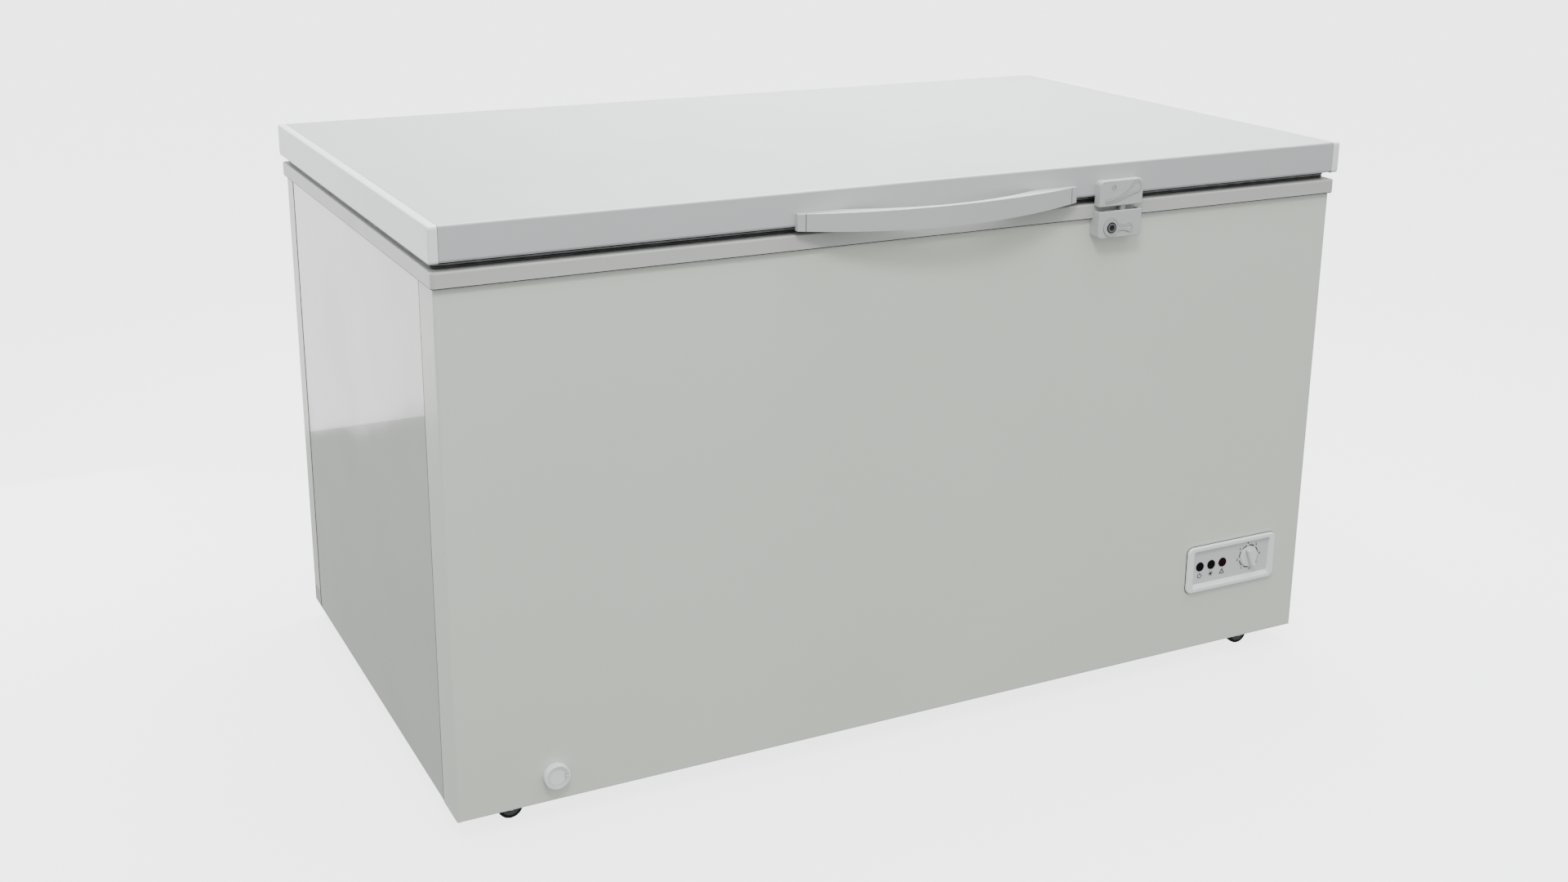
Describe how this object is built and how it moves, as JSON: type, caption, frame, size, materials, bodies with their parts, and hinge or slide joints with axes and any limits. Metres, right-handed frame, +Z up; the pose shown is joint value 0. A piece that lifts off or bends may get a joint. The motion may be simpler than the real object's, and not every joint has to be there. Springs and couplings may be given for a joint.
{
  "type": "chest freezer",
  "caption": "Large white chest freezer with a sprung top-opening lid, bow handle, key lock, thermostat panel, front drain, hanging basket and rollers.",
  "frame": {"origin": "on the floor, under the middle of the bounding box", "axes": "+X along the length to the right of a person facing the front, +Y from the front to the back, +Z up"},
  "size_m": [1.43, 0.88, 0.835],
  "materials": {
    "painted_steel": "satin",
    "painted_steel_gloss": "gloss",
    "lid_steel": "satin",
    "zinc_steel": "satin",
    "tank_aluminium": "satin",
    "rim_plastic": "satin",
    "foam": "matte",
    "copper": "satin",
    "drain_plastic": "matte",
    "white_plastic": "satin",
    "black_rubber": "matte",
    "black_paint": "gloss",
    "black_plastic": "satin",
    "fascia_plastic": "matte",
    "lamp_blue": "gloss",
    "lamp_green": "gloss",
    "lamp_red": "gloss",
    "knob_plastic": "satin",
    "lock_chrome": "gloss",
    "hinge_steel": "satin",
    "roller_nylon": "satin",
    "basket_wire": "gloss",
    "gasket_rubber": "matte"
  },
  "bodies": {
    "cabinet": {"front_panel": "painted_steel", "back_panel": "painted_steel", "side_panel_left": "painted_steel_gloss", "side_panel_right": "painted_steel_gloss", "base_pan": "zinc_steel", "machine_bulkhead": "zinc_steel", "inner_liner": "tank_aluminium", "top_frame": "rim_plastic", "cabinet_foam": "foam", "evaporator_coil": "copper", "suction_tube": "copper", "condenser_coil": "copper", "drain_elbow": "drain_plastic", "compressor_base": "zinc_steel", "compressor_grommets": "black_rubber", "compressor_bolts": "zinc_steel", "compressor_shell": "black_paint", "compressor_terminal_cover": "black_plastic", "discharge_tube": "copper", "filter_drier": "copper", "rear_cover": "zinc_steel", "cord_gland": "black_plastic", "vent_grille": "white_plastic", "control_bezel": "white_plastic", "control_fascia": "fascia_plastic", "lamp_power": "lamp_blue", "lamp_running": "lamp_green", "lamp_alarm": "lamp_red", "thermostat_body": "black_plastic", "lock_body": "white_plastic", "hinge_brackets": "hinge_steel", "hinge_pins": "zinc_steel", "hinge_springs": "zinc_steel", "cabinet_screws": "zinc_steel", "roller_brackets": "zinc_steel", "roller_axles": "zinc_steel"},
    "lid": {"lid_skin": "lid_steel", "lid_end_cap_left": "white_plastic", "lid_end_cap_right": "white_plastic", "lid_liner": "white_plastic", "lid_foam": "foam", "lid_gasket": "gasket_rubber", "handle_body": "white_plastic", "handle_cover": "white_plastic", "lid_screws": "zinc_steel", "hinge_arms": "hinge_steel", "lock_keeper": "white_plastic"},
    "knob": {"thermostat_knob": "knob_plastic", "thermostat_spindle": "zinc_steel"},
    "lock": {"lock_cylinder": "lock_chrome", "lock_cam": "zinc_steel"},
    "drain_sleeve": {"drain_slider": "drain_plastic"},
    "drain_cap": {"drain_dial": "white_plastic"},
    "drain_stopper": {"drain_plug": "drain_plastic"},
    "wire_basket": {"basket": "basket_wire"},
    "roller_front_left": {"roller_front_left": "roller_nylon"},
    "roller_front_right": {"roller_front_right": "roller_nylon"},
    "roller_back_left": {"roller_back_left": "roller_nylon"},
    "roller_back_right": {"roller_back_right": "roller_nylon"}
  },
  "joints": [
    {"name": "lid_hinge", "type": "hinge", "parent": "cabinet", "child": "lid", "pos_m": [0, 0.432, 0.782], "axis": [-1, 0, 0], "range_deg": [0, 75], "stiffness_Nm_per_rad": 16, "springref_deg": 111.73},
    {"name": "thermostat_turn", "type": "hinge", "parent": "cabinet", "child": "knob", "pos_m": [0.6075, -0.394, 0.1695], "axis": [0, 1, 0], "range_deg": [-150, 120]},
    {"name": "lock_turn", "type": "hinge", "parent": "cabinet", "child": "lock", "pos_m": [0.281, -0.406, 0.7435], "axis": [0, 1, 0], "range_deg": [0, 90]},
    {"name": "drain_pull", "type": "slide", "parent": "cabinet", "child": "drain_sleeve", "axis": [0, -1, 0], "range_m": [0, 0.025]},
    {"name": "drain_turn", "type": "hinge", "parent": "drain_sleeve", "child": "drain_cap", "pos_m": [-0.572, -0.394, 0.069], "axis": [0, 1, 0], "range_deg": [0, 180]},
    {"name": "drain_plug_lift", "type": "slide", "parent": "cabinet", "child": "drain_stopper", "axis": [0, 0, 1], "range_m": [0, 0.04]},
    {"name": "basket_slide", "type": "slide", "parent": "cabinet", "child": "wire_basket", "axis": [1, 0, 0], "range_m": [-0.94, 0]},
    {"name": "roller_front_left_spin", "type": "hinge", "parent": "cabinet", "child": "roller_front_left", "pos_m": [-0.626, -0.352, 0.018], "axis": [0, 1, 0], "continuous": true},
    {"name": "roller_front_right_spin", "type": "hinge", "parent": "cabinet", "child": "roller_front_right", "pos_m": [0.626, -0.352, 0.018], "axis": [0, 1, 0], "continuous": true},
    {"name": "roller_back_left_spin", "type": "hinge", "parent": "cabinet", "child": "roller_back_left", "pos_m": [-0.626, 0.376, 0.018], "axis": [0, 1, 0], "continuous": true},
    {"name": "roller_back_right_spin", "type": "hinge", "parent": "cabinet", "child": "roller_back_right", "pos_m": [0.626, 0.376, 0.018], "axis": [0, 1, 0], "continuous": true}
  ]
}
